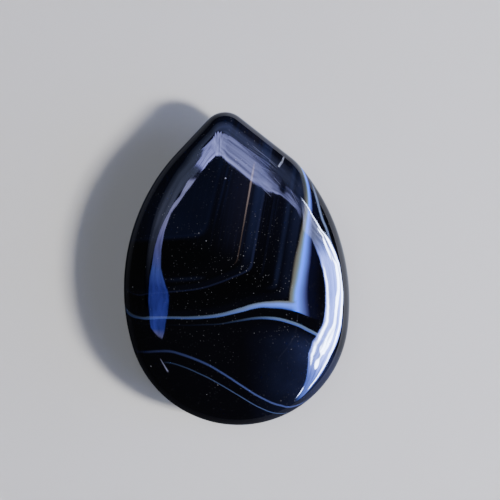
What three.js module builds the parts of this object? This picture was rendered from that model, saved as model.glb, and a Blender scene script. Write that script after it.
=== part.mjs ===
// Polished onyx teardrop: a flat pebble cut to a drop outline and domed on both sides.
// Millimetres, +Z up, +Y towards the tip. It rests on the small flat spot ground into its underside.
import * as THREE from 'three';

// Outline, seen from above: round end, two uneven flanks, straight stretches and a blunt tip.
const ROUND_END_RADIUS = 12.32;
const RIGHT_FLANK = { start: -11.9, radius: 23.4, shoulderAt: 36.2, shoulderRadius: 6.2, end: 47.8 };
const LEFT_FLANK = { start: 192.8, radius: 22.4, shoulderAt: 144.7, shoulderRadius: 20.3, end: 132.8 };
const TIP_RADIUS = 2.6;

// Height: a dome on each side of the widest line, and a ridge that runs out to the tip.
const TOP_DOME = 4.25;
const UNDER_DOME = 3.9;
const FLAT_SPOT_DEPTH = 0.25;
const CROWN_Y = 1.5;
const CROWN_HALF_WIDTH = 12.4;
const CROWN_HALF_LENGTH = 15.5;
const RIDGE_RADIUS = 0.7;
const RIDGE_SWAY = 3.4;

// Steps along each stretch of the outline and from the crown down to the flat spot.
const STEPS = { flank: 14, rightShoulder: 2, straight: 4, tip: 12, leftShoulder: 4, roundEnd: 34 };
const TOP_ROWS = 19;
const UNDER_ROWS = 14;

const radians = THREE.MathUtils.degToRad;

function direction(degrees) {
  return new THREE.Vector2(Math.cos(radians(degrees)), Math.sin(radians(degrees)));
}

function arc(centre, radius, from, to) {
  const clockwise = false;
  return new THREE.EllipseCurve(centre.x, centre.y, radius, radius, radians(from), radians(to), clockwise);
}

// Each arc of a flank leaves the one before it without a corner.
function flankCentres(flank) {
  const lower = direction(flank.start).multiplyScalar(ROUND_END_RADIUS - flank.radius);
  const upper = lower.clone().addScaledVector(direction(flank.shoulderAt), flank.radius - flank.shoulderRadius);
  return { lower, upper };
}

// The tip arc touches both straight stretches.
function tipCentre(rightUpper, leftUpper, tipRadius) {
  const right = direction(RIGHT_FLANK.end);
  const left = direction(LEFT_FLANK.end);
  const rightReach = right.dot(rightUpper) + RIGHT_FLANK.shoulderRadius - tipRadius;
  const leftReach = left.dot(leftUpper) + LEFT_FLANK.shoulderRadius - tipRadius;
  const cross = right.cross(left);
  const x = (rightReach * left.y - leftReach * right.y) / cross;
  const y = (leftReach * right.x - rightReach * left.x) / cross;
  return new THREE.Vector2(x, y);
}

function outline(tipRadius) {
  const right = flankCentres(RIGHT_FLANK);
  const left = flankCentres(LEFT_FLANK);
  const tip = tipCentre(right.upper, left.upper, tipRadius);
  const rightShoulder = arc(
    right.upper, RIGHT_FLANK.shoulderRadius, RIGHT_FLANK.shoulderAt, RIGHT_FLANK.end);
  const tipArc = arc(tip, tipRadius, RIGHT_FLANK.end, LEFT_FLANK.end);
  const leftShoulder = arc(left.upper, LEFT_FLANK.shoulderRadius, LEFT_FLANK.end, LEFT_FLANK.shoulderAt);
  const stretches = [
    [arc(right.lower, RIGHT_FLANK.radius, RIGHT_FLANK.start, RIGHT_FLANK.shoulderAt), STEPS.flank],
    [rightShoulder, STEPS.rightShoulder],
    [new THREE.LineCurve(rightShoulder.getPoint(1), tipArc.getPoint(0)), STEPS.straight],
    [tipArc, STEPS.tip],
    [new THREE.LineCurve(tipArc.getPoint(1), leftShoulder.getPoint(0)), STEPS.straight],
    [leftShoulder, STEPS.leftShoulder],
    [arc(left.lower, LEFT_FLANK.radius, LEFT_FLANK.shoulderAt, LEFT_FLANK.start), STEPS.flank],
    [arc(new THREE.Vector2(), ROUND_END_RADIUS, LEFT_FLANK.start, 360 + RIGHT_FLANK.start), STEPS.roundEnd],
  ];
  return stretches.flatMap(([curve, steps]) => curve.getPoints(steps).slice(0, -1));
}

// A level line: the crown is oval, and further out it takes the outline with a crisper ridge.
// The ridge of the show face bows a little to the left on its way up to the tip.
function levelLine(spread, z) {
  const tipRadius = THREE.MathUtils.lerp(RIDGE_RADIUS, TIP_RADIUS, spread ** 6);
  const crown = new THREE.Vector2(0, CROWN_Y);
  const outlineShare = 2 * spread - spread ** 2;
  const bow = z > 0 ? RIDGE_SWAY * spread * (1 - spread) : 0;
  return outline(tipRadius).map((point) => {
    const reach = point.sub(crown);
    const turn = Math.atan2(reach.y / CROWN_HALF_LENGTH, reach.x / CROWN_HALF_WIDTH);
    const oval = new THREE.Vector2(CROWN_HALF_WIDTH * Math.cos(turn), CROWN_HALF_LENGTH * Math.sin(turn));
    const place = oval.lerp(reach, outlineShare).multiplyScalar(spread).add(crown);
    place.x -= bow * Math.max(0, Math.sin(turn)) ** 2;
    return place;
  });
}

// Rows from the crown to the widest line and on down to the rim of the flat spot.
function rows() {
  const flatLevel = Math.asin(1 - FLAT_SPOT_DEPTH / UNDER_DOME);
  const list = [];
  for (let i = 0; i <= TOP_ROWS; i += 1) {
    const level = Math.PI / 2 * (1 - i / TOP_ROWS);
    list.push({ spread: Math.cos(level), z: TOP_DOME * Math.sin(level) });
  }
  for (let i = 1; i <= UNDER_ROWS; i += 1) {
    const level = flatLevel * i / UNDER_ROWS;
    list.push({ spread: Math.cos(level), z: -UNDER_DOME * Math.sin(level) });
  }
  list.push({ spread: 0, z: FLAT_SPOT_DEPTH - UNDER_DOME });
  return list;
}

function stoneGeometry() {
  const levels = rows();
  const columns = levelLine(1, 0).length;
  const geometry = new THREE.SphereGeometry(1, columns, levels.length - 1);
  const position = geometry.attributes.position;
  levels.forEach(({ spread, z }, row) => {
    const line = levelLine(spread, z);
    for (let column = 0; column <= columns; column += 1) {
      const point = line[column % columns];
      position.setXYZ(row * (columns + 1) + column, point.x, point.y, z);
    }
  });
  geometry.computeBoundingBox();
  const middle = geometry.boundingBox.getCenter(new THREE.Vector3());
  geometry.translate(-middle.x, -middle.y, -geometry.boundingBox.min.z);
  geometry.computeVertexNormals();
  return geometry;
}

const polishedOnyx = new THREE.MeshStandardMaterial({ color: 0x08090d, roughness: 0.06, metalness: 0 });
const stone = new THREE.Mesh(stoneGeometry(), polishedOnyx);
stone.name = 'onyx_teardrop';

const part = new THREE.Group();
part.name = 'polished_onyx_teardrop';
part.add(stone);

export default part;
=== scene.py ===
import math

import bpy
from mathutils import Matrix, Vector


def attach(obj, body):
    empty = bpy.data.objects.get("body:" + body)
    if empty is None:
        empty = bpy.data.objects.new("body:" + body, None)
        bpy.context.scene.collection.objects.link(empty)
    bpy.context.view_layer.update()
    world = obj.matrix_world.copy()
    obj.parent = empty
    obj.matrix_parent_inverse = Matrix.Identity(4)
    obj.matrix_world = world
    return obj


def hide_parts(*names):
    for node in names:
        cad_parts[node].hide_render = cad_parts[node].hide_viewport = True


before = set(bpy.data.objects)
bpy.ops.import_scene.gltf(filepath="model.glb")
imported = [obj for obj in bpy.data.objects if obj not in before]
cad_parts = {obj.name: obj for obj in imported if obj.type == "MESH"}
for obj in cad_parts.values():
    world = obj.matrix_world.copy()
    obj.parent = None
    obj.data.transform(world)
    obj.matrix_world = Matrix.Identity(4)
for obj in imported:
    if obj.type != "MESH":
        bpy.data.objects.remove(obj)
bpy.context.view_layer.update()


# ---- The stone ----
# A flat pebble of black onyx, cut to a drop outline, domed on both sides by hand and polished.
# It is one solid piece. A small spot ground flat underneath is what it rests on.

class Wire:
    """A node socket that takes part in sums. Each sum adds its Math nodes to the socket's tree."""

    def __init__(self, tree, socket):
        self.tree = tree
        self.socket = socket

    @classmethod
    def node(cls, tree, kind, settings=None, inputs=None, output=0):
        """Adds a node, sets it up, and fills its sockets, by name or number, with values or wires.
        Gives back the wire that leaves it, or nothing where no wire does."""
        node = tree.nodes.new(kind)
        for name, value in (settings or {}).items():
            if name == "stops":
                ramp = node.color_ramp
                while len(ramp.elements) < len(value):
                    ramp.elements.new(1.0)
                for element, (position, colour) in zip(ramp.elements, value):
                    element.position = position
                    element.color = colour
            elif name == "points":
                curve = node.mapping.curves[0]
                while len(curve.points) < len(value):
                    curve.points.new(1.0, 1.0)
                for point, place in zip(curve.points, value):
                    point.location = place
                node.mapping.update()
            else:
                setattr(node, name, value)
        for key, value in (inputs or {}).items():
            if isinstance(value, Wire):
                tree.links.new(value.socket, node.inputs[key])
            else:
                node.inputs[key].default_value = value
        return cls(tree, node.outputs[output]) if len(node.outputs) else None

    @classmethod
    def math(cls, operation, *terms):
        tree = next(term.tree for term in terms if isinstance(term, Wire))
        return cls.node(tree, "ShaderNodeMath", {"operation": operation}, dict(enumerate(terms)))

    @classmethod
    def at(cls, x, y, z):
        """A place made of three numbers."""
        tree = next(term.tree for term in (x, y, z) if isinstance(term, Wire))
        return cls.node(tree, "ShaderNodeCombineXYZ", None, {0: x, 1: y, 2: z})

    def also(self, name):
        """Another wire that leaves the same node."""
        return Wire(self.tree, self.socket.node.outputs[name])

    def split(self):
        """The three numbers of a place."""
        x = Wire.node(self.tree, "ShaderNodeSeparateXYZ", None, {0: self})
        return x, x.also(1), x.also(2)

    def __add__(self, other):
        return Wire.math("ADD", self, other)

    def __radd__(self, other):
        return Wire.math("ADD", other, self)

    def __sub__(self, other):
        return Wire.math("SUBTRACT", self, other)

    def __rsub__(self, other):
        return Wire.math("SUBTRACT", other, self)

    def __mul__(self, other):
        return Wire.math("MULTIPLY", self, other)

    def __rmul__(self, other):
        return Wire.math("MULTIPLY", other, self)

    def __truediv__(self, other):
        return Wire.math("DIVIDE", self, other)

    def __rtruediv__(self, other):
        return Wire.math("DIVIDE", other, self)

    def __pow__(self, other):
        return Wire.math("POWER", self, other)

    def __neg__(self):
        return Wire.math("MULTIPLY", self, -1.0)

    def __abs__(self):
        return Wire.math("ABSOLUTE", self)

    def fade(self, low, high, at_low=0.0, at_high=1.0, kind="LINEAR"):
        """Goes from one value to another while this wire goes from low to high."""
        return Wire.node(
            self.tree, "ShaderNodeMapRange", {"interpolation_type": kind, "clamp": True},
            {0: self, 1: low, 2: high, 3: at_low, 4: at_high})

    def ease(self, low, high, at_low=0.0, at_high=1.0):
        """A fade that starts and ends softly."""
        return self.fade(low, high, at_low, at_high, "SMOOTHSTEP")


def larger(one, other):
    return Wire.math("MAXIMUM", one, other)


def noise(place, scale, detail=2.0, w=0.0):
    return Wire.node(place.tree, "ShaderNodeTexNoise", {"noise_dimensions": "4D"},
                     {"Vector": place, "W": w, "Scale": scale, "Detail": detail})


# Sizes in millimetres and degrees; the outline is walked anticlockwise from the right flank.
ROUND_END = 12.32
RIGHT = {"start": -11.9, "flank": 23.4, "shoulder_at": 36.2, "shoulder": 6.2, "end": 47.8}
LEFT = {"start": 192.8, "flank": 22.4, "shoulder_at": 144.7, "shoulder": 20.3, "end": 132.8}
TIP = 2.6
CROWN_Y = 1.5


def toward(degrees):
    return Vector((math.cos(math.radians(degrees)), math.sin(math.radians(degrees))))


def shoulder_centre(side):
    flank = toward(side["start"]) * (ROUND_END - side["flank"])
    return flank + toward(side["shoulder_at"]) * (side["flank"] - side["shoulder"])


def corner_and_reaches():
    """Where the two straight stretches would meet, and how far that is from each shoulder's end."""
    ends = [shoulder_centre(side) + toward(side["end"]) * side["shoulder"] for side in (RIGHT, LEFT)]
    right, left = toward(RIGHT["end"]), toward(LEFT["end"])
    cross = right.x * left.y - right.y * left.x
    a, b = right.dot(ends[0]), left.dot(ends[1])
    corner = Vector(((a * left.y - b * right.y) / cross, (b * right.x - a * left.x) / cross))
    return corner, (corner - ends[0]).length, (corner - ends[1]).length


corner, right_reach, left_reach = corner_and_reaches()
half_turn = math.radians((LEFT["end"] - RIGHT["end"]) / 2)
tip_top = corner.y - TIP * (1 / math.cos(half_turn) - 1)
right_edge = (ROUND_END - RIGHT["flank"]) * math.cos(math.radians(RIGHT["start"])) + RIGHT["flank"]
left_edge = (ROUND_END - LEFT["flank"]) * math.cos(math.radians(LEFT["start"])) - LEFT["flank"]
MIDDLE = Vector(((right_edge + left_edge) / 2, (tip_top - ROUND_END) / 2))

STONE_SIZES = {
    "Round end radius": ROUND_END,
    "Right flank radius": RIGHT["flank"],
    "Right shoulder radius": RIGHT["shoulder"],
    "Left flank radius": LEFT["flank"],
    "Left shoulder radius": LEFT["shoulder"],
    "Right reach to corner": right_reach,
    "Left reach to corner": left_reach,
    "Tip radius": TIP,
    "Ridge radius": 0.7,
    "Ridge sway": 3.4,
    "Top dome": 4.25,
    "Under dome": 3.9,
    "Flat spot depth": 0.25,
    "Crown half width": 12.4,
    "Crown half length": 15.5,
    "Hand polish": 0.02,
    "Polished size": 0.9995,
}
COLUMNS = 264
ROWS = 150
POLISH_SEED = 3.7
CLOSE_ENOUGH = 3e-7  # metres: points of the seam, the crown and the flat spot's middle are merged


def stone_tree(material):
    tree = bpy.data.node_groups.new("teardrop_stone", "GeometryNodeTree")
    tree.interface.new_socket("Stone", in_out="OUTPUT", socket_type="NodeSocketGeometry")
    for name, size in STONE_SIZES.items():
        tree.interface.new_socket(name, in_out="INPUT", socket_type="NodeSocketFloat").default_value = size
    sizes = Wire.node(tree, "NodeGroupInput")
    size = {name: sizes.also(name) for name in STONE_SIZES}

    grid = Wire.node(tree, "GeometryNodeMeshGrid", None,
                     {"Size X": 1.0, "Size Y": 1.0, "Vertices X": COLUMNS + 1, "Vertices Y": ROWS + 1})
    across, up, _ = Wire.node(tree, "GeometryNodeInputPosition").split()
    down = 0.5 - up

    # From the crown over the widest line to the rim of the flat spot, and in to its middle.
    flat_level = Wire.math("ARCSINE", 1.0 - size["Flat spot depth"] / size["Under dome"])
    last = 1.0 - 1.0 / ROWS
    level = down.fade(0.0, last, math.pi / 2, -flat_level)
    inside = 1.0 - Wire.math("GREATER_THAN", down, last + 0.5 / ROWS)
    spread = Wire.math("COSINE", level) * inside
    upper = Wire.math("GREATER_THAN", level, 0.0)
    dome = size["Under dome"] + (size["Top dome"] - size["Under dome"]) * upper
    z = Wire.math("SINE", level) * dome

    # Round the outline: each stretch adds its own step to the start point. A stretch is given by its
    # steps, its radius or length, and where it starts and ends, or which way it runs if straight.
    tip = size["Ridge radius"] + (size["Tip radius"] - size["Ridge radius"]) * spread ** 6.0
    start = toward(RIGHT["start"])
    x = size["Round end radius"] * start.x
    y = size["Round end radius"] * start.y
    stretches = [
        (14, size["Right flank radius"], RIGHT["start"], RIGHT["shoulder_at"]),
        (2, size["Right shoulder radius"], RIGHT["shoulder_at"], RIGHT["end"]),
        (4, size["Right reach to corner"] - tip * math.tan(half_turn), RIGHT["end"] + 90, None),
        (12, tip, RIGHT["end"], LEFT["end"]),
        (4, size["Left reach to corner"] - tip * math.tan(half_turn), LEFT["end"] + 90, None),
        (4, size["Left shoulder radius"], LEFT["end"], LEFT["shoulder_at"]),
        (14, size["Left flank radius"], LEFT["shoulder_at"], LEFT["start"]),
        (34, size["Round end radius"], LEFT["start"], 360 + RIGHT["start"]),
    ]
    along = (across + 0.5) * float(sum(steps for steps, *_ in stretches))
    done = 0
    for steps, length, first, end in stretches:
        if end is None:
            travel = along.fade(done, done + steps) * length
            x = x + travel * toward(first).x
            y = y + travel * toward(first).y
        else:
            angle = along.fade(done, done + steps, math.radians(first), math.radians(end))
            x = x + length * (Wire.math("COSINE", angle) - toward(first).x)
            y = y + length * (Wire.math("SINE", angle) - toward(first).y)
        done += steps

    # Near the crown the level lines are oval; further out they take the outline. The ridge of the
    # show face bows a little to the left on its way up to the tip.
    y = y - CROWN_Y
    turn = Wire.math("ARCTAN2", y / size["Crown half length"], x / size["Crown half width"])
    share = spread * 2.0 - spread * spread
    oval_x = size["Crown half width"] * Wire.math("COSINE", turn)
    oval_y = size["Crown half length"] * Wire.math("SINE", turn)
    near_tip = larger(Wire.math("SINE", turn), 0.0)
    bow = size["Ridge sway"] * spread * (1.0 - spread) * near_tip * near_tip * upper
    x = (oval_x + (x - oval_x) * share) * spread - bow - MIDDLE.x
    y = (oval_y + (y - oval_y) * share) * spread + (CROWN_Y - MIDDLE.y)

    # Hand polishing leaves the domes a little uneven. The flat spot stays flat.
    wave = noise(Wire.at(x, y, z), 0.16, 1.0, POLISH_SEED)
    worn = size["Hand polish"] * wave * level.fade(-flat_level, 0.0)
    z = z * (1.0 - worn / dome * inside) + size["Under dome"] - size["Flat spot depth"]

    to_metres = size["Polished size"] * 0.001
    point = Wire.at(x * to_metres, y * to_metres, z * to_metres)
    shaped = Wire.node(tree, "GeometryNodeSetPosition", None, {"Geometry": grid, "Position": point})
    merged = Wire.node(tree, "GeometryNodeMergeByDistance", None,
                       {"Geometry": shaped, "Distance": CLOSE_ENOUGH})
    smooth = Wire.node(tree, "GeometryNodeSetShadeSmooth", None, {"Geometry": merged})
    real = Wire.node(tree, "GeometryNodeRealizeInstances", None, {"Geometry": smooth})
    painted = Wire.node(tree, "GeometryNodeSetMaterial", None, {"Geometry": real, "Material": material})
    Wire.node(tree, "NodeGroupOutput", None, {0: painted})
    return tree


def drawn(wire, points):
    """A value that follows a smooth line through a few points, each (wire's value, result)."""
    low, high = points[0][0], points[-1][0]
    results = [result for _, result in points]
    bottom, top = min(results), max(results)
    even = [((at - low) / (high - low), (result - bottom) / (top - bottom)) for at, result in points]
    curve = Wire.node(wire.tree, "ShaderNodeFloatCurve", {"points": even}, {"Value": wire.fade(low, high)})
    return curve * (top - bottom) + bottom


def ramp(wire, stops):
    """A colour for each value from 0 to 1."""
    stops = [(at, (*colour, 1.0)) for at, colour in stops]
    return Wire.node(wire.tree, "ShaderNodeValToRGB", {"stops": stops}, {0: wire})


def blend(factor, below, above):
    """Lays one colour over another where the factor is 1."""
    below, above = ((*colour, 1.0) if isinstance(colour, tuple) else colour for colour in (below, above))
    return Wire.node(factor.tree, "ShaderNodeMix", {"data_type": "RGBA"}, {0: factor, 6: below, 7: above},
                     output=2)


def dimmed(colour, strength):
    """A colour made darker, or brighter, by a strength."""
    return Wire.node(strength.tree, "ShaderNodeVectorMath", {"operation": "SCALE"},
                     {0: colour, "Scale": strength})


def thin(distance, half_width, soft=0.06):
    """1 on a line, fading out over a soft edge."""
    return (half_width - abs(distance)).ease(-soft, soft)


# The layers run through the stone. Their places are in millimetres over the crown; deeper in the
# stone they lean to the right and to the back, and they wander a little. The first are the main
# band's upper and lower edge from left to right, and both edges of its upright arm from foot to top.
CROWN_HEIGHT = 7.9
LEAN_RIGHT, LEAN_BACK = 0.4, 0.65
WANDER = 0.12
BAND_TOP = [(-12.6, -5.35), (-11.4, -5.87), (-9.6, -5.5), (-7.4, -5.19), (-4.1, -4.98), (-1.9, -4.72),
            (0.3, -4.26), (2.5, -3.9), (3.6, -3.91), (5.7, -4.2), (9.0, -4.6)]
BAND_FOOT = [(-12.6, -6.0), (-12.1, -6.27), (-10.8, -6.11), (-7.4, -5.46), (-4.1, -5.31), (-1.9, -5.1),
             (0.3, -4.73), (2.4, -4.48), (3.5, -4.63), (5.7, -5.25), (7.8, -6.49), (9.5, -7.6)]
ARM_LEFT = [(-6.0, 5.7), (-3.8, 5.84), (-1.7, 6.33), (0.5, 6.92), (2.6, 7.69), (4.8, 8.48), (7.0, 9.06),
            (9.2, 9.25), (12.0, 8.8)]
ARM_RIGHT = [(-6.5, 8.4), (-4.0, 8.22), (-1.8, 8.46), (0.3, 8.94), (2.5, 9.38), (4.7, 9.74), (7.0, 10.12),
             (9.2, 10.23), (12.0, 9.9)]
# Colours across the arm, from its tan rim to its blue haze. Higher up they crowd to the right.
ARM_COLOURS = [
    (0.00, (0.030, 0.026, 0.025)), (0.12, (0.060, 0.063, 0.057)), (0.23, (0.070, 0.084, 0.088)),
    (0.34, (0.068, 0.126, 0.240)), (0.44, (0.034, 0.145, 0.940)), (0.54, (0.034, 0.104, 0.940)),
    (0.65, (0.038, 0.086, 0.436)), (0.75, (0.036, 0.053, 0.210)), (0.87, (0.018, 0.022, 0.075)),
    (0.97, (0.002, 0.002, 0.016)), (1.00, (0.001, 0.001, 0.006))]
ARM_CROWDING = [(-6.0, 0.70), (-3.0, 0.78), (0.0, 1.0), (3.0, 1.0), (9.0, 1.8), (12.0, 1.9)]
ARM_HAZE = (0.020, 0.024, 0.031)
# Colours from top to foot, in the corner and along the thin line, and the line's strength.
CORNER_COLOURS = [
    (0.0, (0.055, 0.056, 0.052)), (0.2, (0.066, 0.085, 0.130)), (0.45, (0.057, 0.131, 0.620)),
    (0.75, (0.040, 0.086, 0.420)), (1.0, (0.014, 0.022, 0.100))]
LINE_COLOURS = [(0.2, (0.056, 0.080, 0.138)), (0.8, (0.046, 0.078, 0.240))]
LINE_STRENGTH = [(-12.5, 0.38), (-10.5, 0.52), (-6.6, 0.55), (-3.7, 0.62), (-0.9, 0.84), (1.5, 1.05),
                 (9.0, 1.15)]
CORNER_DEPTH = 0.44


def main_band(x, y, p, q):
    """A thin line from the left that thickens and turns sharply up the right side. Gives where it
    is, its colour, and three measures that the other layers go by."""
    top, foot = drawn(x, BAND_TOP), drawn(x, BAND_FOOT)
    left, right = drawn(y, ARM_LEFT), drawn(y, ARM_RIGHT)
    down_share = (top - q) / (top - foot)
    arm_share = (p - left) / (right - left)
    above_foot = (q - foot).ease(-0.07, 0.07)
    past_left = (p - left).ease(-0.10, 0.16)
    place = larger((top - q).ease(-0.06, 0.08), past_left) * above_foot
    place = place * arm_share.ease(0.96, 1.06, 1.0, 0.0)

    in_corner = Wire.math("MINIMUM", larger(top - q, 0.0) * 1.3, CORNER_DEPTH)
    across = larger(larger(arm_share, 0.0) ** drawn(y, ARM_CROWDING), in_corner * past_left)
    hazy = y.fade(5.5, 9.0) * across.fade(0.10, 0.36, 1.0, 0.0)
    arm_colour = blend(hazy, ramp(across, ARM_COLOURS), ARM_HAZE)
    line_colour = dimmed(ramp(down_share, LINE_COLOURS), drawn(x, LINE_STRENGTH))
    lower_colour = blend(x.fade(0.8, 4.6), line_colour, ramp(down_share, CORNER_COLOURS))
    on_arm = arm_share.ease(-0.02, 0.04) * in_corner.fade(0.0, CORNER_DEPTH, 1.0, 0.0)
    on_arm = larger(on_arm, arm_share.ease(0.05, 0.50))
    return place, blend(on_arm, lower_colour, arm_colour), top, right, above_foot


# Colours from the band's corner inward, over 16 mm, and how the layers open out toward the left.
NESTED_REACH = 16.0
NESTED_COLOURS = [
    (0.00, (0.0040, 0.0052, 0.0160)), (0.05, (0.0034, 0.0044, 0.0140)), (0.085, (0.0012, 0.0016, 0.0056)),
    (0.20, (0.0006, 0.0007, 0.0022)), (0.29, (0.0007, 0.0008, 0.0026)), (0.305, (0.0030, 0.0044, 0.0150)),
    (0.335, (0.0038, 0.0053, 0.0180)), (0.355, (0.0030, 0.0042, 0.0140)), (0.375, (0.0016, 0.0018, 0.0050)),
    (0.42, (0.0026, 0.0026, 0.0068)), (0.50, (0.0018, 0.0020, 0.0060)), (0.58, (0.0008, 0.0010, 0.0030)),
    (0.80, (0.0005, 0.0007, 0.0020)), (1.0, (0.0005, 0.0007, 0.0020))]
NESTED_OPENING = [(-12.5, 1.9), (-7.4, 1.63), (-3.9, 1.45), (0.0, 1.24), (9.0, 1.1)]
# Lines among them: how far in, half width, softness, colour, and how much runs on along the foot.
NESTED_LINES = [
    (1.75, 0.22, 0.20, (0.0036, 0.0050, 0.0160), 0.0), (3.37, 0.10, 0.12, (0.0012, 0.0016, 0.0052), 0.0),
    (4.75, 0.13, 0.11, (0.0052, 0.0066, 0.0210), 0.65)]
TAN_INWARD = 6.39
TAN_LOW, TAN_HIGH = (0.0270, 0.0190, 0.0175), (0.0880, 0.0690, 0.0700)
ONYX_BLACK = (0.0004, 0.0004, 0.0012)
STRIPE_NAVY = (0.0040, 0.0050, 0.0180)
SHOULDER_GREY = (0.0100, 0.0125, 0.0180)


def nested_layers(place, x, y, q, band_top, wander):
    """Faint layers inside the band's corner: straight up the right, and flatter along the foot."""
    tree = place.tree
    from_arm = y * 0.25 + 6.55 - x + wander
    from_foot = (q - band_top) * drawn(x, NESTED_OPENING)
    inward = Wire.math("SMOOTH_MIN", from_arm, from_foot * 1.1, 1.1)
    upright = (from_foot - from_arm).ease(-1.5, 2.5)
    inside = inward.fade(0.0, 0.3)
    bright = (upright * 0.7 + 0.3) * y.fade(0.5, 8.5, 0.45, 1.15)
    body = blend(inside, ONYX_BLACK, dimmed(ramp(inward / NESTED_REACH, NESTED_COLOURS), bright))

    stripes = Wire.node(tree, "ShaderNodeTexNoise", {"noise_dimensions": "1D"},
                        {"W": inward, "Scale": 2.2, "Detail": 3.0, "Roughness": 0.7})
    cloud = noise(place, 0.16, 1.0, 8.1).fade(0.40, 0.62, 0.2, 1.0)
    body = blend(stripes.ease(0.50, 0.66) * cloud * inside * bright * upright * 0.40, body, STRIPE_NAVY)
    body = blend(from_arm.ease(0.0, 1.3, 1.0, 0.0) * y.fade(7.5, 10.5), body, SHOULDER_GREY)
    for at, half_width, soft, colour, at_foot in NESTED_LINES:
        round_corner = upright * (1.0 - at_foot) + at_foot if at_foot else upright
        line = thin(inward - at, half_width, soft) * round_corner * cloud.fade(0.2, 0.7, 0.6, 1.0)
        body = blend(line, body, colour)
    tan = (y.fade(4.0, 9.5, 0.045, 0.095) - abs(inward - TAN_INWARD)).fade(-0.05, 0.05)
    tan = tan * upright.fade(0.02, 0.42) * y.fade(10.4, 11.6, 1.0, 0.0)
    return blend(tan, body, blend(y.fade(3.0, 8.0), TAN_LOW, TAN_HIGH)), cloud


FIELD_NAVY, FIELD_EDGE = (0.0014, 0.0022, 0.0084), (0.0022, 0.0033, 0.0130)
FIELD_STRIPE = (0.0024, 0.0034, 0.0130)
LOW_STRIPE_Y = -0.72
LOW_STRIPE = (0.0022, 0.0032, 0.0105)


def navy_field(body, x, y, wander, cloud):
    """A navy field in the upper left, level at its foot, two fine stripes to its right, and a faint
    blue stripe low on the left."""
    inward = Wire.math("SMOOTH_MIN", (y - 4.07) * 0.316 - 2.75 - x, y - 3.75, 2.2) + wander
    colour = blend(thin(inward - 0.20, 0.10, 0.25), FIELD_NAVY, FIELD_EDGE)
    body = blend(inward.ease(-0.30, 0.30) * cloud.fade(0.2, 1.0, 0.6, 1.0), body, colour)
    beside = larger(thin(inward + 0.62, 0.06, 0.18), thin(inward + 1.15, 0.03, 0.14) * 0.7)
    body = blend(beside * y.fade(4.5, 8.0), body, FIELD_STRIPE)
    low = thin(y - LOW_STRIPE_Y - wander, 0.14, 0.26) * x.fade(-8.4, -6.6) * x.fade(-4.4, -3.0, 1.0, 0.0)
    return blend(low * 0.8, body, LOW_STRIPE)


RIM_LINE = [(1.0, 12.0), (3.5, 11.45), (5.3, 10.96), (7.2, 10.8), (9.1, 10.64), (12.0, 10.2)]
RIM_BLUE = (0.0760, 0.1050, 0.2050)
OUTER_HAZE = (0.0010, 0.0012, 0.0060)


def outer_shoulder(body, y, p, arm_right, above_foot):
    """Blue haze on the outer side of the upright arm, and one more line on the shoulder."""
    outer = p - arm_right
    body = blend(outer.ease(0.0, 1.6, 1.0, 0.0) * outer.fade(-0.1, 0.0) * above_foot, body, OUTER_HAZE)
    line = thin(p - drawn(y, RIM_LINE), 0.12, 0.14) * y.fade(1.0, 4.0) * y.fade(7.2, 9.0, 1.0, 0.25)
    return blend(line, body, RIM_BLUE)


SECOND_LINE = [(-12.0, -6.9), (-8.0, -6.22), (-4.2, -5.98), (-2.0, -5.9), (0.2, -5.64), (1.8, -5.56),
               (3.5, -5.76), (5.6, -6.57), (7.7, -8.06), (9.5, -9.8), (12.5, -13.4)]
SECOND_STRENGTH = [(-12.5, 0.03), (-4.0, 0.05), (-1.0, 0.16), (1.6, 0.42), (3.0, 0.66), (4.6, 1.0),
                   (9.0, 1.0), (9.9, 0.0)]
THIRD_LINE = [(-12.5, -10.9), (-10.7, -10.05), (-8.8, -9.42), (-7.7, -9.27), (-6.6, -9.45), (-4.5, -10.22),
              (-2.4, -11.54), (-0.3, -13.32), (1.7, -15.2), (3.9, -16.94), (5.5, -17.75), (6.8, -17.6),
              (10.0, -16.0)]
FOURTH_LINE = [(-12.0, -11.4), (-8.6, -10.77), (-7.8, -10.7), (-6.7, -10.9), (-4.6, -11.81), (-2.5, -13.15),
               (-0.4, -14.88), (1.7, -16.83), (3.8, -18.39), (6.0, -19.2), (9.0, -19.0)]
FOOT_NAVY = (0.0044, 0.0060, 0.0210)
SECOND_LOW, SECOND_HIGH = (0.0280, 0.0500, 0.1900), (0.0460, 0.0690, 0.1200)
THIRD_LEFT, THIRD_RIGHT = (0.0090, 0.0120, 0.0390), (0.0235, 0.0340, 0.1080)
FOURTH_BLUE = (0.0270, 0.0430, 0.1050)


def lines_below_band(body, place, x, q):
    """A pale line close under the band, and lower down a blue pair over a navy haze."""
    second, third, fourth = (q - drawn(x, line) for line in (SECOND_LINE, THIRD_LINE, FOURTH_LINE))
    patchy = noise(place, 0.3, 3.0, 2.2).fade(0.3, 0.7, 0.5, 1.2)
    body = blend((-second).fade(0.2, 2.5) * x.fade(0.0, 7.5) ** 1.5 * patchy, body, FOOT_NAVY)
    edge = (x.fade(-2.0, 7.0, 0.06, 0.20) - abs(second)).ease(-0.07, 0.07)
    colour = blend(second.fade(-0.14, 0.10), SECOND_LOW, SECOND_HIGH)
    body = blend(edge * drawn(x, SECOND_STRENGTH), body, colour)
    colour = blend(x.fade(-9.0, 0.0), THIRD_LEFT, THIRD_RIGHT)
    body = blend(thin(third, 0.13, 0.10) * x.fade(-12.0, -10.0), body, colour)
    line = thin(fourth, 0.07, 0.07) * x.fade(-8.8, -7.8) * x.fade(-8.0, 1.0, 0.35, 1.0)
    return blend(line, body, FOURTH_BLUE)


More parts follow.
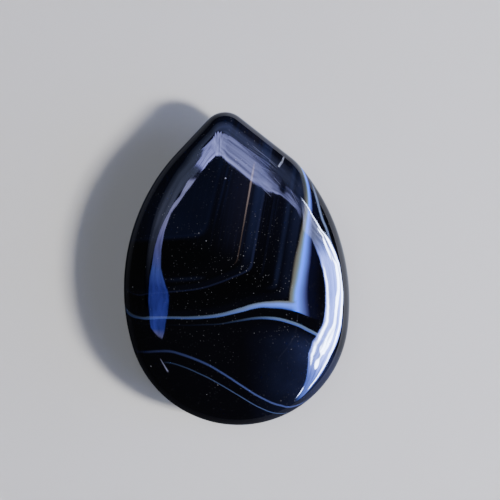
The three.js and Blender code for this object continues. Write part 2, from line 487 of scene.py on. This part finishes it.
def stroke(x, y, start, end, start_width, end_width):
    """1 on a short straight mark between two points, with its half width at each."""
    length = math.dist(start, end)
    ux, uy = (end[0] - start[0]) / length, (end[1] - start[1]) / length
    run = ((x - start[0]) * ux + (y - start[1]) * uy) / length
    side = abs((x - start[0]) * uy - (y - start[1]) * ux)
    ends = run.ease(0.0, 0.15) * run.ease(0.82, 1.0, 1.0, 0.0)
    return (run.fade(0.0, 1.0, start_width, end_width) - side).fade(-0.03, 0.06) * ends


def specks(place, scale, smallest, largest, rarity):
    """Dust: round specks strewn at random, few of them bright."""
    distance = Wire.node(place.tree, "ShaderNodeTexVoronoi", {"feature": "F1"},
                         {"Vector": place, "Scale": scale}, output="Distance")
    pick = Wire.node(place.tree, "ShaderNodeSeparateColor", None, {0: distance.also("Color")})
    near = (pick.fade(0.0, 1.0, smallest, largest) - distance / scale).fade(0.0, 0.03)
    return near * pick.also(1) ** rarity


# Dust: how dense it lies, its smallest and largest speck, and how rare the bright ones are.
FINE_DUST = (3.6, 0.030, 0.078, 1.4)
LOOSE_DUST = (0.9, 0.04, 0.11, 3.0)
# Fine pale streaks: start, end, half width and strength.
PALE_STREAKS = [
    ((2.78, 13.54), (5.63, 10.79), 0.030, 0.9), ((2.33, 13.28), (4.53, 11.67), 0.020, 0.6),
    ((4.60, 11.65), (5.60, 10.60), 0.030, 0.9), ((3.19, 11.19), (5.43, 10.01), 0.020, 0.6),
    ((4.97, 9.75), (5.77, 8.69), 0.030, 0.8), ((3.65, 8.61), (4.66, 7.45), 0.030, 1.0),
    ((6.71, 8.34), (7.48, 6.37), 0.025, 0.9), ((6.35, 7.95), (7.25, 6.35), 0.020, 0.6),
    ((6.55, -5.24), (6.10, -7.60), 0.028, 0.17), ((6.10, -7.60), (5.22, -8.84), 0.028, 0.22),
    ((5.22, -8.84), (3.90, -10.20), 0.028, 0.12), ((7.10, -8.20), (7.56, -8.93), 0.028, 0.24)]
# The scratch and both parts of the chip: start, end, and the half width at each.
SCRATCH = ((-8.90, -9.15), (-8.05, -10.85), 0.03, 0.10)
CHIP = [((6.36, 12.02), (6.01, 11.18), 0.08, 0.13), ((6.10, 11.40), (5.60, 10.78), 0.12, 0.15)]
# The marks set in between these heights, so that they stay on the show face.
SHOW_FACE = (3.7, 4.1)
DUST_GREY = (0.165, 0.170, 0.195)
SCRATCH_WHITE = (0.140, 0.145, 0.230)
CHIP_GREY = (0.066, 0.067, 0.076)
STREAK_PALE = (0.085, 0.092, 0.150)
BRIGHT_POLISH = 0.035


def wear(colour, place, x, y, z):
    """Dust, a white scratch on the lower left, a small chip on the upper right shoulder and fine
    pale streaks. Gives the colour and the roughness."""
    drift = noise(place, 0.22, 2.0, 5.5).fade(0.42, 0.60, 0.15, 1.0)
    drift = drift * (thin(x - 4.0, 3.0, 3.5) * thin(y - 2.0, 3.5, 4.0) * 0.9 + 0.35)
    drift = drift * y.fade(-9.0, -5.0, 0.35, 1.0)
    dust = larger(specks(place, *FINE_DUST) * drift, specks(place, *LOOSE_DUST))
    on_face = z.fade(*SHOW_FACE)
    scratch = stroke(x, y, *SCRATCH) * on_face
    chip = larger(*(stroke(x, y, *part) for part in CHIP)) * on_face
    colour = blend(dust, colour, DUST_GREY)
    colour = blend(scratch * 0.9, colour, SCRATCH_WHITE)
    colour = blend(chip * 0.9, colour, CHIP_GREY)

    # Fine pale streaks painted on the show face: a patch of them on the upper right, and single lines.
    swirl = Wire.at((x * 0.78 - y * 0.62) * 0.22, (x * 0.62 + y * 0.78) * 4.0, 0.0)
    patch = thin(x - 4.4, 1.4, 1.6) * thin(y - 11.6, 1.0, 1.6)
    fine_streaks = noise(swirl, 1.0, 2.0, 6.3).fade(0.60, 0.70) * patch
    for start, end, width, strength in PALE_STREAKS:
        fine_streaks = larger(fine_streaks, stroke(x, y, start, end, width, width * 0.5) * strength)
    fine_streaks = fine_streaks * on_face
    rough = BRIGHT_POLISH + dust * 0.3 + scratch * 0.4 + chip * 0.5 + fine_streaks * 0.1
    return blend(fine_streaks * 0.7, colour, STREAK_PALE), rough


def onyx_material():
    material = bpy.data.materials.new("polished_onyx")
    material.use_nodes = True
    tree = material.node_tree
    shader = tree.nodes["Principled BSDF"]
    shader.inputs["IOR"].default_value = 1.54

    seen = Wire.node(tree, "ShaderNodeTexCoord", output="Object")
    place = Wire.node(tree, "ShaderNodeMapping", None, {"Vector": seen, "Scale": (1000.0, 1000.0, 1000.0)})
    x, y, z = place.split()
    # Where a layer stands at this depth is measured across as p and lengthwise as q.
    depth = CROWN_HEIGHT - z
    wander = (noise(place, 0.35, 2.0, 1.3) - 0.5) * WANDER
    p = x + depth * LEAN_RIGHT + wander
    q = y - depth * LEAN_BACK + wander

    on_band, band_colour, band_top, arm_right, above_foot = main_band(x, y, p, q)
    body, cloud = nested_layers(place, x, y, q, band_top, wander)
    body = navy_field(body, x, y, wander, cloud)
    body = outer_shoulder(body, y, p, arm_right, above_foot)
    body = lines_below_band(body, place, x, q)
    colour, rough = wear(blend(on_band, body, band_colour), place, x, y, z)
    tree.links.new(colour.socket, shader.inputs["Base Color"])
    tree.links.new(rough.socket, shader.inputs["Roughness"])
    return material


def build_stone():
    tree = stone_tree(onyx_material())
    holder = bpy.data.objects.new("stone_holder", bpy.data.meshes.new("stone_holder"))
    bpy.context.scene.collection.objects.link(holder)
    modifier = holder.modifiers.new("teardrop_stone", "NODES")
    modifier.node_group = tree
    for item in tree.interface.items_tree:
        if item.in_out == "INPUT":
            modifier[item.identifier] = float(STONE_SIZES[item.name])
    depsgraph = bpy.context.evaluated_depsgraph_get()
    mesh = bpy.data.meshes.new_from_object(holder.evaluated_get(depsgraph))
    bpy.data.objects.remove(holder)
    mesh.name = "onyx_teardrop_polished"
    stone = bpy.data.objects.new("onyx_teardrop_polished", mesh)
    bpy.context.scene.collection.objects.link(stone)
    return stone


stone = build_stone()
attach(stone, "root")
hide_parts("onyx_teardrop")


# ---- Studio ----
# A pale floor under the stone, one soft key lamp low on the right that casts its shadow, a weak
# lamp overhead, and a dark card painted with light and shade and four curved glowing sheets that only the
# polish mirrors.

def matt_plane(name, material_name, height):
    """A wide level sheet without gloss. Gives the sheet, its node tree and its shader."""
    bpy.ops.mesh.primitive_plane_add(size=4.0, location=(0.0, 0.0, height))
    plane = bpy.context.object
    plane.name = name
    material = bpy.data.materials.new(material_name)
    material.use_nodes = True
    shader = material.node_tree.nodes["Principled BSDF"]
    shader.inputs["Roughness"].default_value = 0.9
    plane.data.materials.append(material)
    return plane, material.node_tree, shader


floor, _, floor_shader = matt_plane("studio_floor", "pale_floor", 0.0)
floor_shader.inputs["Base Color"].default_value = (0.36, 0.355, 0.345, 1.0)
floor.visible_glossy = floor.visible_shadow = False

# The rim mirrors a dark card in place of the floor. Its colour is painted light and shade: painted
# shade, darkest toward its lower left, and painted light, lightest toward the right. How light it is goes
# by the azimuth round the stone, in radians.
CARD_PAINTED_LIGHT = [
    (-3.15, 0.06), (-2.6, 0.034), (-2.1, 0.042), (-1.57, 0.09), (-1.05, 0.20), (-0.5, 0.58), (0.0, 0.88),
    (0.52, 0.62), (1.05, 0.88), (1.57, 0.52), (2.1, 0.20), (2.6, 0.14), (3.15, 0.06)]
CARD_LIGHTEST = (0.56, 0.60, 0.76)
CARD_HEIGHT = -0.0002

card, card_tree, card_shader = matt_plane("dark_card", "dark_card", CARD_HEIGHT)
card_x, card_y, _ = Wire.node(card_tree, "ShaderNodeTexCoord", output="Object").split()
# Painted light and shade on the card, by the azimuth round the stone.
painted_light = drawn(Wire.math("ARCTAN2", card_y, card_x), CARD_PAINTED_LIGHT)
shade = blend(painted_light, (0.0, 0.0, 0.0), CARD_LIGHTEST)
card_tree.links.new(shade.socket, card_shader.inputs["Base Color"])
card_shader.inputs["Specular IOR Level"].default_value = 0.0
card.visible_camera = card.visible_diffuse = card.visible_shadow = False

world = bpy.data.worlds.new("studio")
world.use_nodes = True
world.node_tree.nodes["Background"].inputs["Color"].default_value = (0.9, 0.93, 1.0, 1.0)
world.node_tree.nodes["Background"].inputs["Strength"].default_value = 0.045
bpy.context.scene.world = world


def compass(azimuth, height):
    a, h = math.radians(azimuth), math.radians(height)
    return Vector((math.cos(a) * math.cos(h), math.sin(a) * math.cos(h), math.sin(h)))


SHEET_ROWS = 16


def sheet_mesh(name, edges, away):
    """A curved sheet round the stone. Each step along it gives the azimuth and height, in degrees, of
    its outer edge and of its inner edge. Its map runs from 0 to 1 along it and from edge to edge."""
    row = SHEET_ROWS + 1
    points = []
    for outer, inner in edges:
        points += [compass(*(o + (i - o) * step / SHEET_ROWS for o, i in zip(outer, inner))) * away
                   for step in range(row)]
    faces = [(at, at + row, at + row + 1, at + 1)
             for first in range(0, (len(edges) - 1) * row, row) for at in range(first, first + SHEET_ROWS)]
    mesh = bpy.data.meshes.new(name)
    mesh.from_pydata([tuple(point) for point in points], [], faces)
    uv = mesh.uv_layers.new(name="sheet")
    for loop in mesh.loops:
        column, step = divmod(loop.vertex_index, row)
        uv.data[loop.index].uv = (column / (len(edges) - 1), step / SHEET_ROWS)
    return mesh


def streaks(u, v, along, over, low, high, seed):
    """Soft streaks that run along a sheet and waver a little."""
    wavy = v + (noise(Wire.at(u * along, 0.0, 0.0), 1.6, 2.0, seed) - 0.5) * 0.3
    return noise(Wire.at(u * along, wavy * over, 0.0), 1.0, 3.0, seed).fade(low, high)


def glowing(name, tint, glow, across, grain, dark, rag, ends, ribbons, veil, fan):
    """The glow of a sheet, over its map. What each value does is told in soft_panel."""
    sheet = bpy.data.materials.new(name)
    sheet.use_nodes = True
    tree = sheet.node_tree
    tree.nodes.remove(tree.nodes["Principled BSDF"])
    spot = Wire.node(tree, "ShaderNodeUVMap", {"uv_map": "sheet"})
    u, v, _ = spot.split()
    along, over = grain

    ragged = v + (noise(spot, 22.0, 2.0, 9.0) - 0.5) * rag
    brightness = streaks(u, v, along, over, 0.35, 0.65, 4.0) * (1.0 - dark) + dark
    jagged = ragged
    if fan:
        start, end, strand_count = fan
        strands = noise(Wire.at(u * strand_count, v * 1.5, 0.0), 1.0, 2.0, 5.0).fade(0.38, 0.62)
        here = u.fade(start - 0.03, start + 0.03) * u.fade(end - 0.03, end + 0.03, 1.0, 0.0)
        brightness = brightness * (1.0 - here) + (strands * 0.75 + 0.35) * here
        jagged = ragged + (strands - 0.75) * here * 0.30
    edge = u.fade(0.0, ends[0]) * u.fade(1.0 - ends[1], 1.0, 1.0, 0.0)
    edge = edge * jagged.fade(0.0, 0.08) * ragged.fade(0.95, 1.0, 1.0, 0.0)
    if veil:
        line, strength = veil
        whole = (ragged - drawn(u, line)).ease(-0.10, 0.12)
        fine_streaks = streaks(u, v, along * 0.7, over * 3.0, 0.40, 0.62, 7.0) * drawn(u, strength)
        brightness = larger(brightness * whole, fine_streaks * (1.0 - whole))
    colour = dimmed(ramp(u, tint), brightness * drawn(u, glow) * drawn(v, across))
    if ribbons:
        white, lines = ribbons
        wavy = v + (noise(Wire.at(u * 9.0, 0.0, 0.0), 1.6, 2.0, 3.0) - 0.5) * 0.12
        crest = 0.0
        for path, half_width in lines:
            crest = larger(crest, thin(wavy - drawn(u, path), drawn(u, half_width), 0.035))
        colour = blend(crest * streaks(u, v, 7.0, 9.0, 0.30, 0.52, 12.0), colour, white)

    lit = Wire.node(tree, "ShaderNodeEmission", None, {"Color": dimmed(colour, edge)})
    tree.links.new(lit.socket, tree.nodes["Material Output"].inputs["Surface"])
    return sheet


def soft_panel(name, edges, tint, glow, across, grain, dark, rag=0.06, ends=(0.02, 0.02), ribbons=None,
               veil=None, fan=None, away=0.7):
    """A glowing curved sheet that only a mirror shows. Tint and glow run along it, across runs from its
    outer to its inner edge. Grain is how many streaks lie along and over it, and dark how bright it
    stays between them. Rag frays its edges, and ends is how far it takes to fade in at each end.
    Ribbons are bright crests: their colour, and the path and half width of each. A veil is a line,
    outside of which only hairs of light are left, and how strong they are. A fan is a stretch of
    strands: its start, its end and how dense they lie. Away is the distance from the stone in metres."""
    mesh = sheet_mesh(name, edges, away)
    mesh.materials.append(glowing(name, tint, glow, across, grain, dark, rag, ends, ribbons, veil, fan))
    panel = bpy.data.objects.new(name, mesh)
    panel.visible_camera = panel.visible_diffuse = panel.visible_shadow = False
    bpy.context.scene.collection.objects.link(panel)
    return panel


# The broad bright light down the right side, with three white streaks in it.
RIBBON_WHITE = (130.0, 158.0, 235.0)
OUTER_RIBBON = (
    [(0.0, 0.3), (0.07, 0.04), (0.18, 0.07), (0.24, 0.18), (0.29, 0.20), (0.35, 0.13), (0.42, 0.06),
     (0.52, 0.10), (0.62, 0.20), (0.72, 0.14), (0.82, 0.20), (0.95, 0.26), (1.0, 0.3)],
    [(0.0, 0.04), (0.18, 0.04), (0.26, 0.09), (0.35, 0.08), (0.52, 0.10), (0.62, 0.06), (0.72, 0.06),
     (0.82, 0.04), (0.90, 0.02), (0.94, -0.05), (1.0, -0.05)])
MIDDLE_RIBBON = (
    [(0.0, 0.4), (0.16, 0.25), (0.23, 0.45), (0.30, 0.52), (0.36, 0.34), (0.42, 0.34), (0.48, 0.48),
     (0.60, 0.56), (0.74, 0.58), (0.80, 0.62), (1.0, 0.6)],
    [(0.0, -0.05), (0.14, -0.04), (0.17, 0.02), (0.24, 0.04), (0.32, 0.07), (0.45, 0.10), (0.56, 0.06),
     (0.66, 0.13), (0.72, 0.12), (0.75, 0.01), (0.785, 0.09), (0.81, 0.01), (0.83, -0.05), (1.0, -0.05)])
INNER_RIBBON = (
    [(0.0, 0.80), (0.3, 0.95), (0.45, 0.92), (0.75, 0.88), (1.0, 0.92)],
    [(0.0, -0.05), (0.27, -0.04), (0.36, 0.01), (0.5, 0.025), (0.72, 0.03), (0.80, 0.0), (0.83, -0.04),
     (0.90, -0.03), (0.94, 0.02), (1.0, -0.02)])

right_panel = soft_panel(
    "right_panel",
    edges=[
        ((33, 37), (33, 39)), ((29, 35), (29, 46)), ((25, 34), (25, 52)), ((19, 29), (20, 47)),
        ((15, 18), (16, 46)), ((10, 10), (12, 45)), ((6, 5), (6, 43)), ((1, 4), (-1, 42)),
        ((-4, 3), (-6, 42)), ((-9, 5), (-11, 42)), ((-14, 4), (-15, 43)), ((-22, 8), (-21, 46)),
        ((-31, 13), (-30, 49)), ((-37, 13), (-38, 48)), ((-42, 11), (-46, 40)), ((-50, 9), (-52, 30)),
        ((-57, 4), (-58, 21)), ((-64, 2), (-63, 13))],
    tint=[
        (0.0, (0.50, 0.56, 1.0)), (0.18, (0.44, 0.52, 1.0)), (0.26, (0.24, 0.33, 1.0)),
        (0.45, (0.20, 0.29, 1.0)), (0.75, (0.22, 0.31, 1.0)), (0.85, (0.16, 0.25, 1.0)),
        (1.0, (0.14, 0.25, 1.0))],
    glow=[
        (0.0, 6.0), (0.08, 10.0), (0.16, 12.0), (0.22, 22.0), (0.29, 60.0), (0.35, 95.0), (0.6, 100.0),
        (0.72, 80.0), (0.80, 52.0), (0.86, 30.0), (0.93, 20.0), (1.0, 4.0)],
    across=[(0.0, 0.9), (0.3, 1.1), (0.5, 1.0), (0.7, 0.75), (0.9, 0.8), (1.0, 0.9)],
    grain=(5.0, 8.0), dark=0.40, ends=(0.05, 0.04),
    ribbons=(RIBBON_WHITE, [OUTER_RIBBON, MIDDLE_RIBBON, INNER_RIBBON]))

# The folded light round the tip. It fans out into strands at its fold, and down its right branch
# its outer part is frayed to hairs.
far_panel = soft_panel(
    "far_panel",
    edges=[
        ((131, 42), (130, 52)), ((130, 40), (129, 51)), ((130, 31), (126, 53)), ((105, 39), (108, 59)),
        ((59, 45), (84, 62)), ((54, 42), (58, 60)), ((52, 40), (54, 60)), ((51, 39), (53, 59)),
        ((51, 40), (52, 59)), ((51, 43), (51, 57)), ((44, 46), (40, 53)), ((38, 43), (36, 51)),
        ((34, 41), (32, 49)), ((31, 38), (28, 50))],
    tint=[(0.0, (0.37, 0.40, 1.0)), (0.3, (0.42, 0.46, 1.0)), (1.0, (0.42, 0.46, 1.0))],
    glow=[
        (0.0, 22.0), (0.12, 20.0), (0.22, 18.5), (0.32, 15.0), (0.45, 13.0), (0.65, 11.5), (0.85, 7.5),
        (1.0, 10.0)],
    across=[(0.0, 0.80), (0.3, 0.85), (0.65, 1.0), (0.88, 1.15), (0.94, 1.5), (1.0, 1.5)],
    grain=(6.0, 11.0), dark=0.32, rag=0.14, ends=(0.02, 0.10), fan=(0.13, 0.27, 42.0),
    veil=([(0.0, -0.3), (0.34, -0.3), (0.42, 0.10), (0.48, 0.30), (0.54, 0.42), (0.61, 0.50), (0.69, 0.56),
           (0.77, 0.78), (0.83, 0.45), (0.92, 0.58), (1.0, 0.4)],
          [(0.0, 1.0), (0.40, 1.0), (0.52, 0.8), (0.62, 0.55), (0.70, 0.3), (0.77, 0.08), (0.83, 0.6),
           (1.0, 0.3)]))

# The blue light down the left side.
left_panel = soft_panel(
    "left_panel",
    edges=[
        ((132, 47), (131, 52)), ((133, 49), (132, 53)), ((137, 50), (135, 53)), ((142, 48), (141, 52)),
        ((148, 47), (146, 50)), ((155, 45), (154, 50)), ((162, 44), (162, 51)), ((169, 44), (170, 53)),
        ((175, 42), (177, 57)), ((179, 41), (181, 59)), ((186, 40), (188, 57)), ((192, 38), (194, 53)),
        ((195, 42), (200, 47))],
    tint=[
        (0.0, (0.50, 0.52, 1.0)), (0.38, (0.50, 0.50, 1.0)), (0.50, (0.33, 0.34, 1.0)),
        (0.60, (0.17, 0.23, 1.0)), (0.70, (0.11, 0.14, 1.0)), (0.93, (0.11, 0.15, 1.0)),
        (0.98, (0.40, 0.42, 1.0)), (1.0, (0.50, 0.50, 1.0))],
    glow=[
        (0.0, 11.0), (0.1, 11.0), (0.36, 9.0), (0.48, 6.6), (0.66, 5.4), (0.78, 4.8), (0.90, 5.2),
        (1.0, 3.0)],
    across=[(0.0, 0.95), (0.5, 1.0), (0.9, 1.0), (1.0, 1.1)],
    grain=(9.0, 4.0), dark=0.55, rag=0.16)

# A faint haze behind the other sheets, from the left side round the tip to the right shoulder.
haze_panel = soft_panel(
    "haze_panel",
    edges=[
        ((184, 37), (184, 40)), ((170, 36), (170, 43)), ((158, 33), (156, 45)), ((150, 29), (148, 47)),
        ((141, 26), (136, 49)), ((132, 22), (131, 50)), ((131, 14), (130, 50)), ((100, 20), (110, 50)),
        ((66, 22), (80, 50)), ((52, 22), (53, 48)), ((51, 19), (51, 46)), ((47, 18), (48, 46)),
        ((38, 17), (40, 46)), ((31, 20), (33, 42))],
    tint=[
        (0.0, (0.50, 0.56, 1.0)), (0.2, (0.58, 0.64, 1.0)), (0.45, (0.50, 0.60, 1.0)),
        (0.58, (0.36, 0.44, 1.0)), (1.0, (0.46, 0.54, 1.0))],
    glow=[
        (0.0, 0.1), (0.08, 0.5), (0.15, 1.1), (0.23, 1.7), (0.36, 1.8), (0.49, 1.9), (0.58, 2.3),
        (0.68, 2.5), (0.78, 1.5), (0.88, 1.2), (1.0, 1.6)],
    across=[(0.0, 0.04), (0.2, 0.36), (0.5, 0.85), (0.8, 1.0), (1.0, 1.05)],
    grain=(4.0, 5.0), dark=0.55, rag=0.10, ends=(0.10, 0.10), away=0.8)

# Each lamp: name, size, power, colour and place.
for name, size, energy, colour, place in [
        ("key_lamp", 0.07, 9.0, (1.0, 0.97, 0.93), compass(-20.0, 34.0) * 0.5),
        ("fill_lamp", 0.60, 3.2, (0.92, 0.96, 1.0), compass(150.0, 65.0) * 0.8)]:
    light = bpy.data.lights.new(name, "AREA")
    light.size = size
    light.energy = energy
    light.color = colour
    lamp = bpy.data.objects.new(name, light)
    lamp.location = place
    lamp.rotation_euler = place.to_track_quat("Z", "Y").to_euler()
    lamp.visible_glossy = False
    bpy.context.scene.collection.objects.link(lamp)

# The camera looks straight down on the stone and is turned a little.
camera_data = bpy.data.cameras.new("camera")
camera_data.angle = math.radians(22.0)
camera = bpy.data.objects.new("camera", camera_data)
camera.location = (0.00183, 0.00192, 0.1471)
camera.rotation_euler = (0.0, 0.0, math.radians(-4.21))
bpy.context.scene.collection.objects.link(camera)
bpy.context.scene.camera = camera
